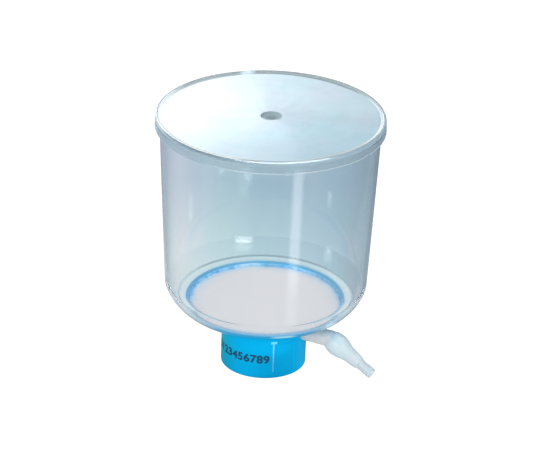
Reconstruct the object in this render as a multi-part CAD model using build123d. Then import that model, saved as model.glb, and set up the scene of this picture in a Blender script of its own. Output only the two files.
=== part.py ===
from build123d import *
import math
import os

os.makedirs("parts", exist_ok=True)

# Bottle-top vacuum filtration unit: a clear polystyrene bowl with a lift-off
# lid, a blue filter base that screws on a GL45 bottle neck, a disc membrane
# sealed in the base, and a swivelling hose connector pushed in its side port.
# Millimetres. Z is the bowl's axis, z = 0 is the foot of the neck collar.

# ---- lid -----------------------------------------------------------------
LID_R_TOP = 65.4          # outer radius at the top edge
LID_R_SKIRT = 65.9        # outer radius at the skirt's lower edge
LID_TOP_Z = 157.1
LID_SKIRT_Z = 149.8
LID_SKIRT_T = 1.4
LID_PLATE_T = 1.9
LID_FACE_DROP = 0.7       # the face lies this far below the edge bead
LID_BEAD_W = 2.6
GATE_R = 6.0              # sunk moulding gate in the middle of the lid
GATE_DEPTH = 1.3

# ---- bowl ----------------------------------------------------------------
RIM_TOP_Z = 154.5         # lid plate rests here
RIM_BEAD_R = 63.95
WALL_R_TOP = 63.2         # outer wall radius at the lid skirt
WALL_R_LOW = 58.84        # outer wall radius at the heel line
HEEL_Z = 51.75            # heel line, where the wall turns in
BOTTOM_R = 49.9           # outer radius of the bottom
BOTTOM_Z = 38.8
WALL_T = 2.0
FLOOR_Z = 41.85           # inner floor
FLOOR_CORNER_R = 51.7
LIP_R = 44.9              # the floor lip reaches in over the base's rim

# ---- filter base ---------------------------------------------------------
RIM_R = 46.6
RIM_Z0, RIM_Z1 = 38.2, 40.7
RIM_INNER_R = 44.6
LAND_Z = 39.0             # membrane lies here
COLLAR_R = 25.0
NECK_R = 22.8             # root radius of the neck thread (GL45)
NECK_Z = 15.0             # top of the threaded wall
SEAT_Z = 17.2             # gasket seat
SEAT_R = 22.4
CHAMBER_R = 17.0
CHAMBER_Z = 31.0
SPOUT_R, SPOUT_BORE = 6.0, 4.0
SPOUT_Z = 19.5
GROOVE_DEPTH = 1.1
GROOVE_W = 1.8
GROOVE_PITCH = 3.8
CHANNELS = 12

# ---- membrane and gasket -------------------------------------------------
MEMBRANE_R = 44.2
MEMBRANE_T = 0.2
GASKET_RO, GASKET_RI = 22.2, 15.6
GASKET_T = 1.9

# ---- side port and hose connector ---------------------------------------
PORT_Z = 22.9
PORT_AZ = -22.0           # degrees from +X
PORT_BORE_R = 4.05
SHANK_R = 4.0             # turns in the port with 0.05 radial clearance
STUB_R0, STUB_R1 = 4.25, 5.0
ELBOW_X = 41.8            # distance of the bend from the bowl's axis
ARM_DROP = 32.5           # degrees below level
ARM_LEN = 32.2
TIP_R = 3.1
SHANK_BORE = 2.6
ARM_BORE = 1.8
PLUG_LEN = 6.0


def ring_profile(pts):
    """Closed polyline of (r, z) in the XZ plane, turned about Z."""
    with BuildPart() as p:
        with BuildSketch(Plane.XZ):
            with BuildLine():
                Polyline(*[(r, z) for r, z in pts], close=True)
            make_face()
        revolve(axis=Axis.Z)
    return p.part


def tube(r0, r1, z0, z1):
    return ring_profile([(r0, z0), (r1, z0), (r1, z1), (r0, z1)])


# ---- lid: flat plate, edge bead, hanging skirt and a sunk centre gate ----
face_z = LID_TOP_Z - LID_FACE_DROP
with BuildPart() as lid_b:
    with BuildSketch(Plane.XZ):
        with BuildLine():
            Polyline(
                (0, face_z - GATE_DEPTH), (GATE_R - 0.5, face_z - GATE_DEPTH),
                (GATE_R, face_z),
                (LID_R_TOP - LID_BEAD_W, face_z),
                (LID_R_TOP - LID_BEAD_W + 0.7, LID_TOP_Z),
                (LID_R_TOP - 0.9, LID_TOP_Z),
                (LID_R_TOP - 0.25, LID_TOP_Z - 0.3),
                (LID_R_TOP, LID_TOP_Z - 0.95),
                (LID_R_SKIRT, LID_SKIRT_Z + 0.3),
                (LID_R_SKIRT - 0.3, LID_SKIRT_Z),
                (LID_R_SKIRT - LID_SKIRT_T, LID_SKIRT_Z),
                (LID_R_TOP - LID_SKIRT_T + 0.3, RIM_TOP_Z),
                (GATE_R + 1.6, RIM_TOP_Z),
                (GATE_R + 1.0, RIM_TOP_Z - GATE_DEPTH + 0.3),
                (0, RIM_TOP_Z - GATE_DEPTH + 0.3),
                close=True)
        make_face()
    revolve(axis=Axis.Z)
lid = lid_b.part

# ---- bowl: drafted wall, rim bead, rounded heel, floor lip over the base -
with BuildPart() as bowl_b:
    with BuildSketch(Plane.XZ):
        with BuildLine():
            Polyline((RIM_R + 0.1, RIM_Z1), (RIM_R + 0.1, BOTTOM_Z),
                     (BOTTOM_R - 0.7, BOTTOM_Z), (BOTTOM_R, BOTTOM_Z + 0.45))
            ThreePointArc((BOTTOM_R, BOTTOM_Z + 0.45), (55.3, 44.85),
                          (WALL_R_LOW, HEEL_Z))
            Polyline((WALL_R_LOW, HEEL_Z), (WALL_R_TOP, LID_SKIRT_Z),
                     (WALL_R_TOP + 0.1, 152.2), (RIM_BEAD_R, 152.7),
                     (RIM_BEAD_R, RIM_TOP_Z - 0.3), (RIM_BEAD_R - 0.3, RIM_TOP_Z),
                     (WALL_R_TOP - WALL_T + 0.3, RIM_TOP_Z),
                     (WALL_R_LOW - WALL_T, HEEL_Z + 0.8))
            ThreePointArc((WALL_R_LOW - WALL_T, HEEL_Z + 0.8), (54.75, 46.9),
                          (FLOOR_CORNER_R, FLOOR_Z + 0.25))
            Polyline((FLOOR_CORNER_R, FLOOR_Z + 0.25), (FLOOR_CORNER_R - 0.6, FLOOR_Z),
                     (LIP_R, FLOOR_Z), (LIP_R, RIM_Z1), (RIM_R + 0.1, RIM_Z1))
        make_face()
    revolve(axis=Axis.Z)
bowl = bowl_b.part

# ---- filter base: rim, grooved support plate, drain, chamber, collar -----
base = ring_profile([
    (0, LAND_Z), (RIM_INNER_R, LAND_Z), (RIM_INNER_R, RIM_Z1), (RIM_R, RIM_Z1),
    (RIM_R, RIM_Z0), (45.4, 37.2), (COLLAR_R, 32.6),
    (COLLAR_R, 0.4), (COLLAR_R - 0.4, 0), (NECK_R + 0.5, 0), (NECK_R, 0.5),
    (NECK_R, NECK_Z), (SEAT_R, NECK_Z), (SEAT_R, SEAT_Z), (CHAMBER_R, SEAT_Z),
    (CHAMBER_R, CHAMBER_Z), (SPOUT_R, CHAMBER_Z), (SPOUT_R - 0.4, SPOUT_Z),
    (0, SPOUT_Z)])

# support side of the plate: ring grooves and radial channels to the drain
cuts = []
r = 7.4
while r + GROOVE_W < 41.5:
    cuts.append(tube(r, r + GROOVE_W, LAND_Z - GROOVE_DEPTH, LAND_Z + 0.5))
    r += GROOVE_PITCH
for i in range(CHANNELS):
    a = 360.0 * i / CHANNELS
    cuts.append(Rot(0, 0, a) * Pos(22.4, 0, LAND_Z - GROOVE_DEPTH / 2 + 0.25)
                * Box(37.6, 1.6, GROOVE_DEPTH + 0.5))
cuts.append(Pos(0, 0, (SPOUT_Z + LAND_Z) / 2) * Cylinder(SPOUT_BORE, LAND_Z - SPOUT_Z + 2))
base = base - cuts

# side port for the connector, from the chamber to the collar's face
port_dir = Vector(math.cos(math.radians(PORT_AZ)), math.sin(math.radians(PORT_AZ)), 0)
port_plane = Plane(origin=(0, 0, PORT_Z), x_dir=(0, 0, 1), z_dir=port_dir)
base = base - port_plane * Pos(0, 0, 21.0) * Cylinder(PORT_BORE_R, 12.0)


def sector(r0, r1, z0, z1, a0, a1):
    """Ring sector; a0..a1 in degrees, counted from the front (-Y) to +X."""
    with BuildPart() as s:
        with BuildSketch(Plane.XZ.rotated((0, 0, a0 - 90))):
            with BuildLine():
                Polyline((r0, z0), (r1, z0), (r1, z1), (r0, z1), close=True)
            make_face()
        revolve(axis=Axis.Z, revolution_arc=a1 - a0)
    return s.part


# shallow sunk panel and T-shaped key rib on the collar's front
panel = sector(COLLAR_R - 0.4, COLLAR_R + 1, 2.8, 21.6, 16.0, 46.0)
rib = sector(COLLAR_R - 0.6, COLLAR_R + 0.35, 4.0, 23.2, 13.0, 14.8)
bar = sector(COLLAR_R - 0.6, COLLAR_R + 0.35, 22.6, 23.9, 10.0, 18.6)
base = base - panel + rib + bar

# ---- membrane and neck gasket -------------------------------------------
membrane = Pos(0, 0, LAND_Z + MEMBRANE_T / 2) * Cylinder(MEMBRANE_R, MEMBRANE_T)
gasket = tube(GASKET_RI, GASKET_RO, SEAT_Z - GASKET_T, SEAT_Z)

# ---- hose connector: shank, stub, bend and a stepped drooping arm --------
# Built along local axes: x outward along the port, z up, bend at ELBOW_X.
with BuildPart() as stub_b:
    with BuildSketch(Plane.XZ):
        with BuildLine():
            Polyline((17.6, 0), (17.6, SHANK_R - 0.4), (18.0, SHANK_R), (25.2, SHANK_R),
                     (25.2, STUB_R0), (ELBOW_X, STUB_R1), (ELBOW_X, 0), close=True)
        make_face()
    revolve(axis=Axis.X)
stub = stub_b.part + Pos(ELBOW_X, 0, 0) * Sphere(STUB_R1)

with BuildPart() as arm_b:
    with BuildSketch(Plane.XZ):
        with BuildLine():
            Line((-1.2, 0), (-1.2, 4.0))
            Spline((-1.2, 4.0), (0.6, 5.6), (3.6, 6.5), (7.2, 6.55), (11.2, 5.45),
                   (13.2, 4.85), (16.0, 4.4), (20.6, 4.0))
            Polyline((20.6, 4.0), (21.6, 3.85), (22.7, TIP_R), (ARM_LEN - 0.8, TIP_R),
                     (ARM_LEN - 0.2, TIP_R - 0.35), (ARM_LEN, TIP_R - 0.8),
                     (ARM_LEN, 0), (-1.2, 0))
        make_face()
    revolve(axis=Axis.X)
arm = Pos(ELBOW_X, 0, 0) * Rot(0, ARM_DROP, 0) * arm_b.part
body = stub + arm
bore = Pos((17 + ELBOW_X) / 2, 0, 0) * Rot(0, 90, 0) * Cylinder(SHANK_BORE, ELBOW_X - 17)
arm_bore = Pos(ELBOW_X, 0, 0) * Rot(0, ARM_DROP, 0) * Pos(ARM_LEN / 2 + 0.5, 0, 0) \
    * Rot(0, 90, 0) * Cylinder(ARM_BORE, ARM_LEN + 1)
body = body - bore - Pos(ELBOW_X, 0, 0) * Sphere(SHANK_BORE) - arm_bore
place = Pos(0, 0, PORT_Z) * Rot(0, 0, PORT_AZ)
connector = place * body
plug = place * Pos(27 + PLUG_LEN / 2, 0, 0) * Rot(0, 90, 0) * Cylinder(SHANK_BORE, PLUG_LEN)

NODES = {
    "lid": lid,
    "bowl": bowl,
    "membrane": membrane,
    "filter_base": base,
    "neck_gasket": gasket,
    "vacuum_connector": connector,
    "port_filter_plug": plug,
}
for name, shape in NODES.items():
    solids = shape.solids()
    print(name, "solids", len(solids), "volume", round(sum(s.volume for s in solids), 1))
    export_step(shape if len(solids) > 1 else solids[0], f"parts/{name}.step")
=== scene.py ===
import math

import bmesh
import bpy
from mathutils import Matrix, Vector


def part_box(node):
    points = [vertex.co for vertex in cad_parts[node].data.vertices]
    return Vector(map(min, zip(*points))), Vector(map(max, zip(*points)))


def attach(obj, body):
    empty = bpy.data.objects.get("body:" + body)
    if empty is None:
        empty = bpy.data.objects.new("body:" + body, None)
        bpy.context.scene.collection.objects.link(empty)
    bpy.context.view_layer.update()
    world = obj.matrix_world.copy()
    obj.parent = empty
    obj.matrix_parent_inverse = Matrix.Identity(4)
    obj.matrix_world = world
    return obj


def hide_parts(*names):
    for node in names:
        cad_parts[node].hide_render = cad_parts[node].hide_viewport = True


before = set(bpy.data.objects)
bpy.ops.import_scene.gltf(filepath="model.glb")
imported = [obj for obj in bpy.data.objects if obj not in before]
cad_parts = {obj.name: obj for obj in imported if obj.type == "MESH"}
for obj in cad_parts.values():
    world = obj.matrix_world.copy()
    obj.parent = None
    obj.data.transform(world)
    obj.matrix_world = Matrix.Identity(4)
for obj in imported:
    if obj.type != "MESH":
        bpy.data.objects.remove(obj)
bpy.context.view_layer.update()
MM = 0.001
scene = bpy.context.scene

# ------------------------------------------------------------------ helpers


def rounded(pts, steps=5):
    """Closed (r, z[, radius]) outline with its corners rounded, in mm."""
    out = []
    n = len(pts)
    for i, p in enumerate(pts):
        rad = p[2] if len(p) > 2 else 0.0
        b = Vector((p[0], p[1]))
        a = Vector(pts[i - 1][:2])
        c = Vector(pts[(i + 1) % n][:2])
        if rad <= 0:
            out.append((b.x, b.y))
            continue
        u, w = (a - b), (c - b)
        lu, lw = u.length, w.length
        u.normalize()
        w.normalize()
        ang = math.acos(max(-1, min(1, u.dot(w))))
        if ang > math.pi - 0.02:
            out.append((b.x, b.y))
            continue
        t = min(rad / math.tan(ang / 2), lu * 0.48, lw * 0.48)
        r = t * math.tan(ang / 2)
        mid = (u + w).normalized()
        centre = b + mid * (r / math.sin(ang / 2))
        s, e = b + u * t - centre, b + w * t - centre
        a0, a1 = math.atan2(s.y, s.x), math.atan2(e.y, e.x)
        d = (a1 - a0 + math.pi) % (2 * math.pi) - math.pi
        for k in range(steps + 1):
            q = a0 + d * k / steps
            out.append((centre.x + r * math.cos(q), centre.y + r * math.sin(q)))
    return out


def arc3(p, m, q, n=10):
    """Points of the arc from p through m to q, ends left out."""
    ax, ay, bx, by, cx, cy = *p, *m, *q
    d = 2 * (ax * (by - cy) + bx * (cy - ay) + cx * (ay - by))
    ux = ((ax * ax + ay * ay) * (by - cy) + (bx * bx + by * by) * (cy - ay) + (cx * cx + cy * cy) * (ay - by)) / d
    uy = ((ax * ax + ay * ay) * (cx - bx) + (bx * bx + by * by) * (ax - cx) + (cx * cx + cy * cy) * (bx - ax)) / d
    r = math.hypot(ax - ux, ay - uy)
    a0, am, a1 = (math.atan2(y - uy, x - ux) for x, y in (p, m, q))
    d1 = (a1 - a0) % (2 * math.pi)
    dm = (am - a0) % (2 * math.pi)
    if dm > d1:
        d1 -= 2 * math.pi
    return [(ux + r * math.cos(a0 + d1 * k / n), uy + r * math.sin(a0 + d1 * k / n)) for k in range(1, n)]


def split_long(pts, longest):
    out = []
    n = len(pts)
    for i in range(n):
        a, b = pts[i], pts[(i + 1) % n]
        out.append(a)
        d = math.hypot(b[0] - a[0], b[1] - a[1])
        k = int(d // longest)
        for j in range(1, k + 1):
            f = j / (k + 1)
            out.append((a[0] + (b[0] - a[0]) * f, a[1] + (b[1] - a[1]) * f))
    return out


def finish_mesh(name, bm, sharp=32.0):
    bmesh.ops.recalc_face_normals(bm, faces=bm.faces)
    me = bpy.data.meshes.new(name)
    bm.to_mesh(me)
    bm.free()
    me.shade_smooth()
    me.set_sharp_from_angle(angle=math.radians(sharp))
    ob = bpy.data.objects.new(name, me)
    scene.collection.objects.link(ob)
    return ob


def lathe(name, pts, seg=256, offset=None, angles=None, sharp=32.0):
    """Turns a closed (r, z) outline in mm about Z. offset(angle, r, z) moves a point outwards."""
    bm = bmesh.new()
    ang = angles or [2 * math.pi * i / seg for i in range(seg)]
    cols = []
    for r, z in pts:
        if r < 1e-6:
            cols.append([bm.verts.new((0, 0, z * MM))])
        else:
            col = []
            for a in ang:
                q, h = (r, z) if offset is None else offset(a, r, z)
                col.append(bm.verts.new((q * math.cos(a) * MM, q * math.sin(a) * MM, h * MM)))
            cols.append(col)
    n, m = len(cols), len(ang)
    for i in range(n):
        c0, c1 = cols[i], cols[(i + 1) % n]
        if len(c0) == 1 and len(c1) == 1:
            continue
        for j in range(m):
            k = (j + 1) % m
            if len(c0) == 1:
                bm.faces.new((c0[0], c1[j], c1[k]))
            elif len(c1) == 1:
                bm.faces.new((c0[j], c0[k], c1[0]))
            else:
                bm.faces.new((c0[j], c0[k], c1[k], c1[j]))
    return finish_mesh(name, bm, sharp)


class Nodes:
    """Small helper to write a node material."""

    def __init__(self, name):
        self.mat = bpy.data.materials.new(name)
        self.mat.use_nodes = True
        self.t = self.mat.node_tree
        self.t.nodes.clear()
        self.out = self.t.nodes.new("ShaderNodeOutputMaterial")

    def n(self, kind, **kw):
        node = self.t.nodes.new(kind)
        for k, v in kw.items():
            if k == "ins":
                for key, val in v.items():
                    node.inputs[key].default_value = val
            else:
                setattr(node, k, v)
        return node

    def l(self, a, b):
        self.t.links.new(a, b)

    def coords(self, scale=(1, 1, 1)):
        c = self.n("ShaderNodeTexCoord")
        m = self.n("ShaderNodeMapping")
        m.inputs["Scale"].default_value = scale
        self.l(c.outputs["Object"], m.inputs["Vector"])
        return m.outputs["Vector"]

    def noise(self, vec, scale, detail=3.0, rough=0.5):
        t = self.n("ShaderNodeTexNoise", ins={"Scale": scale, "Detail": detail, "Roughness": rough})
        self.l(vec, t.inputs["Vector"])
        return t.outputs["Fac"]

    def ramp(self, fac, stops):
        r = self.n("ShaderNodeValToRGB")
        e = r.color_ramp.elements
        while len(e) < len(stops):
            e.new(0.5)
        for el, (pos, col) in zip(e, stops):
            el.position = pos
            el.color = (*col, 1) if len(col) == 3 else col
        self.l(fac, r.inputs["Fac"])
        return r.outputs["Color"]

    def rng(self, fac, lo, hi, a=0.0, b=1.0):
        m = self.n("ShaderNodeMapRange", ins={"From Min": a, "From Max": b, "To Min": lo, "To Max": hi})
        self.l(fac, m.inputs["Value"])
        return m.outputs["Result"]

    def bump(self, height, strength, distance):
        b = self.n("ShaderNodeBump", ins={"Strength": strength, "Distance": distance})
        self.l(height, b.inputs["Height"])
        return b.outputs["Normal"]

    def math(self, op, a, b=None):
        m = self.n("ShaderNodeMath", operation=op)
        for i, v in enumerate((a, b)):
            if v is None:
                continue
            if isinstance(v, (int, float)):
                m.inputs[i].default_value = v
            else:
                self.l(v, m.inputs[i])
        return m.outputs[0]


def paint(ob, mat):
    ob.data.materials.clear()
    ob.data.materials.append(mat)


# ---------------------------------------------------------------- materials
def srgb(r, g, b):
    return tuple(((c / 255 + 0.055) / 1.055) ** 2.4 if c > 10 else c / 255 / 12.92 for c in (r, g, b))


def clear_plastic(name, tint_a, tint_b, rough_lo, rough_hi, absorb, density, shadow, bump=0.04):
    m = Nodes(name)
    vec = m.coords()
    p = m.n("ShaderNodeBsdfPrincipled", ins={"IOR": 1.38, "Transmission Weight": 1.0})
    # moulding flow: long soft streaks down the wall and fine haze
    flow = m.noise(m.coords((1, 1, 0.12)), 55.0, 2.0, 0.5)
    col = m.ramp(flow, [(0.3, tint_a), (0.7, tint_b)])
    sep = m.n("ShaderNodeSeparateXYZ")
    m.l(vec, sep.inputs[0])
    x, y, z = sep.outputs
    rad = m.math("SQRT", m.math("ADD", m.math("MULTIPLY", x, x), m.math("MULTIPLY", y, y)))
    # floor of the bowl: milky land, weld edge over the rim, foot tinted by the base
    land = m.math("MULTIPLY", m.math("MULTIPLY", m.rng(rad, 0, 1, 0.0462, 0.0470), m.rng(rad, 1, 0, 0.0505, 0.0512)),
                  m.math("MULTIPLY", m.rng(z, 0, 1, 0.0414, 0.0416), m.rng(z, 1, 0, 0.0421, 0.0424)))
    # (skin is measured from the heel's outer face, so the inner fillet is where it is well below zero)
    inside = m.rng(m.math("SUBTRACT", rad, m.math("ADD", m.math("MULTIPLY", z, 0.70), 0.02288)), 1, 0, -0.0012, -0.0006)
    flank = m.math("MULTIPLY", m.math("MULTIPLY", m.rng(rad, 0, 1, 0.0500, 0.0508), m.rng(z, 1, 0, 0.0436, 0.0450)),
                   m.math("MULTIPLY", m.rng(z, 0, 1, 0.0414, 0.0416), m.rng(m.math("ABSOLUTE", x), 0, 0.75, 0.0440, 0.0485)))
    flank = m.math("MULTIPLY", flank, inside)
    # painted shade: a dark grey, partly opaque line in the corner where the floor meets the wall, at the back and sides
    # and at the front sides
    corner = m.math("MULTIPLY", m.math("MULTIPLY", m.rng(rad, 0, 1, 0.0510, 0.0513), m.rng(rad, 1, 0, 0.0519, 0.0523)),
                    m.math("MULTIPLY", m.rng(z, 0, 1, 0.0412, 0.0414), m.rng(z, 1, 0, 0.0430, 0.0434)))
    aft = m.math("MULTIPLY", corner, m.math("MULTIPLY", m.math("MULTIPLY", m.rng(x, 0.25, 1.0, -0.050, -0.034), m.rng(x, 1.0, 0.35, 0.030, 0.044)), m.rng(y, 0.15, 1.0, -0.012, 0.012)))
    near = m.math("MULTIPLY", m.math("MULTIPLY", corner, m.rng(m.math("ABSOLUTE", x), 0, 0.85, 0.0280, 0.0380)), m.rng(y, 1, 0, -0.014, -0.004))
    corner = m.math("MAXIMUM", aft, near)
    weld = m.math("MULTIPLY", m.math("MULTIPLY", m.rng(rad, 1, 0, 0.0451, 0.0453), m.rng(z, 1, 0, 0.0420, 0.0423)), m.rng(y, 0, 1, -0.015, -0.003))
    foot = m.math("MULTIPLY", m.rng(z, 1, 0, 0.0428, 0.0490),
                  m.math("MULTIPLY", m.rng(rad, 0, 1, 0.0486, 0.0491), m.rng(y, 1, 0, -0.036, -0.024)))
    skin = m.math("SUBTRACT", rad, m.math("ADD", m.math("MULTIPLY", z, 0.70), 0.02288))
    skin = m.math("MAXIMUM", m.rng(skin, 0, 1, -0.0002, 0.0002), m.rng(z, 1, 0, 0.0408, 0.0412))
    foot = m.math("MULTIPLY", m.math("MULTIPLY", foot, skin), m.math("MULTIPLY", m.rng(x, 0.2, 1.0, -0.042, -0.026), m.rng(x, 1.0, 0.3, 0.028, 0.044)))
    glint = m.math("MULTIPLY", m.math("MULTIPLY", foot, m.math("MULTIPLY", m.rng(z, 0, 1, 0.0404, 0.0412), m.rng(z, 1, 0, 0.0425, 0.0438))),
                   m.math("MULTIPLY", m.rng(x, 0, 1, 0.0030, 0.0080), m.rng(x, 1, 0, 0.0150, 0.0195)))
    rim_side = m.math("MULTIPLY", land, m.rng(rad, 1, 0, 0.0470, 0.0488))
    # the wall: darker at its left edge, clearer just inside it and low on the flanks
    wall = m.rng(z, 0, 1, 0.0500, 0.0530)
    lw = m.n("ShaderNodeLayerWeight", ins={"Blend": 0.5})
    lip = m.math("MULTIPLY", m.math("MULTIPLY", m.rng(lw.outputs["Facing"], 0, 1, 0.70, 0.86), m.rng(x, 1, 0, -0.050, -0.035)), wall)
    flush = m.math("MULTIPLY", m.rng(x, 0.85, 0, -0.0500, -0.0420), wall)
    # painted shade: a grey, partly opaque outline on the front of the heel towards its sides, where it is seen edge-on
    turned = m.math("MULTIPLY", m.math("MULTIPLY", skin, m.rng(lw.outputs["Facing"], 0, 1, 0.68, 0.88)),
                    m.math("MULTIPLY", m.rng(z, 1, 0, 0.0520, 0.0550), m.rng(rad, 0, 1, 0.0495, 0.0500)))
    spark = m.math("MULTIPLY", m.math("MULTIPLY", skin, m.math("MULTIPLY", m.rng(z, 0, 1, 0.0415, 0.0424), m.rng(z, 1, 0, 0.0458, 0.0480))),
                   m.math("MULTIPLY", m.math("MULTIPLY", m.rng(x, 0, 1, 0.0340, 0.0362), m.rng(x, 1, 0, 0.0395, 0.0420)), m.rng(y, 1, 0, -0.030, -0.026)))
    turned = m.math("MULTIPLY", turned, m.math("MULTIPLY", m.rng(y, 1, 0, -0.002, 0.008), m.rng(m.math("ABSOLUTE", x), 0, 1, 0.020, 0.032)))
    low = m.math("MULTIPLY", m.math("MULTIPLY", m.rng(m.math("ABSOLUTE", x), 0, 0.85, 0.0360, 0.0430), m.rng(z, 1, 0, 0.0610, 0.0740)), wall)
    flush = m.math("MAXIMUM", flush, low)
    for mask, tint in ((flush, (0.975, 0.962, 0.975)), (lip, (0.66, 0.64, 0.65)), (flank, (0.94, 0.965, 0.975)), (land, (0.93, 0.96, 0.97)), (corner, (0.33, 0.40, 0.43)), (weld, (0.15, 0.46, 0.70)), (foot, (0.010, 0.40, 0.76)), (turned, (0.33, 0.40, 0.44)), (spark, (0.62, 0.88, 1.0)), (glint, (0.42, 0.86, 1.0)), (rim_side, (0.72, 0.90, 1.0))):
        mx = m.n("ShaderNodeMix", data_type="RGBA")
        m.l(mask, mx.inputs[0])
        m.l(col, mx.inputs[6])
        mx.inputs[7].default_value = (*tint, 1)
        col = mx.outputs[2]
    m.l(col, p.inputs["Base Color"])
    body = m.math("MAXIMUM", m.math("MAXIMUM", m.math("MULTIPLY", land, m.rng(m.math("ABSOLUTE", x), 0.42, 0.85, 0.020, 0.042)), m.math("MULTIPLY", corner, 0.45)),
                  m.math("MAXIMUM", m.math("MULTIPLY", weld, 0.85), m.math("MULTIPLY", foot, 0.97)))
    # painted light: the heel's left and right cheeks are made partly opaque and pale, which lightens the dark marks the
    # heel shows there
    cheek = m.math("MULTIPLY", m.math("MULTIPLY", m.rng(z, 0, 1, 0.043, 0.046), m.rng(z, 1, 0, 0.0515, 0.0545)),
                   m.rng(m.math("ABSOLUTE", x), 0, 0.4, 0.044, 0.052))
    body = m.math("MAXIMUM", body, m.math("MULTIPLY", cheek, m.rng(y, 1, 0, -0.004, 0.010)))
    body = m.math("MAXIMUM", body, m.math("MAXIMUM", m.math("MULTIPLY", flank, 0.8), m.math("MAXIMUM", m.math("MULTIPLY", turned, 0.5), m.math("MULTIPLY", spark, 0.85))))
    m.l(m.rng(body, 1.0, 0.0), p.inputs["Transmission Weight"])
    m.l(m.rng(foot, 0.5, 0.12), p.inputs["Specular IOR Level"])
    haze = m.noise(vec, 240.0, 3.0, 0.6)
    m.l(m.rng(haze, rough_lo, rough_hi, 0.35, 0.7), p.inputs["Roughness"])
    soft = m.noise(m.coords((1, 1, 0.35)), 38.0, 1.5, 0.4)
    m.l(m.bump(soft, bump, 0.0006), p.inputs["Normal"])
    lp = m.n("ShaderNodeLightPath")
    tr = m.n("ShaderNodeBsdfTransparent", ins={"Color": (*shadow, 1)})
    mix = m.n("ShaderNodeMixShader")
    m.l(m.math("MAXIMUM", lp.outputs["Is Shadow Ray"], m.math("GREATER_THAN", lp.outputs["Diffuse Depth"], 0.5)), mix.inputs[0])
    m.l(p.outputs[0], mix.inputs[1])
    m.l(tr.outputs[0], mix.inputs[2])
    m.l(mix.outputs[0], m.out.inputs["Surface"])
    if density > 0:
        v = m.n("ShaderNodeVolumeAbsorption", ins={"Color": (*absorb, 1), "Density": density})
        m.l(v.outputs[0], m.out.inputs["Volume"])
    return m.mat


BOWL_MAT = clear_plastic("clear_bowl", (0.875, 0.925, 0.945), (0.905, 0.945, 0.96), 0.008, 0.030,
                         (0.6, 0.82, 0.86), 8.0, (0.95, 0.975, 0.985))


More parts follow.
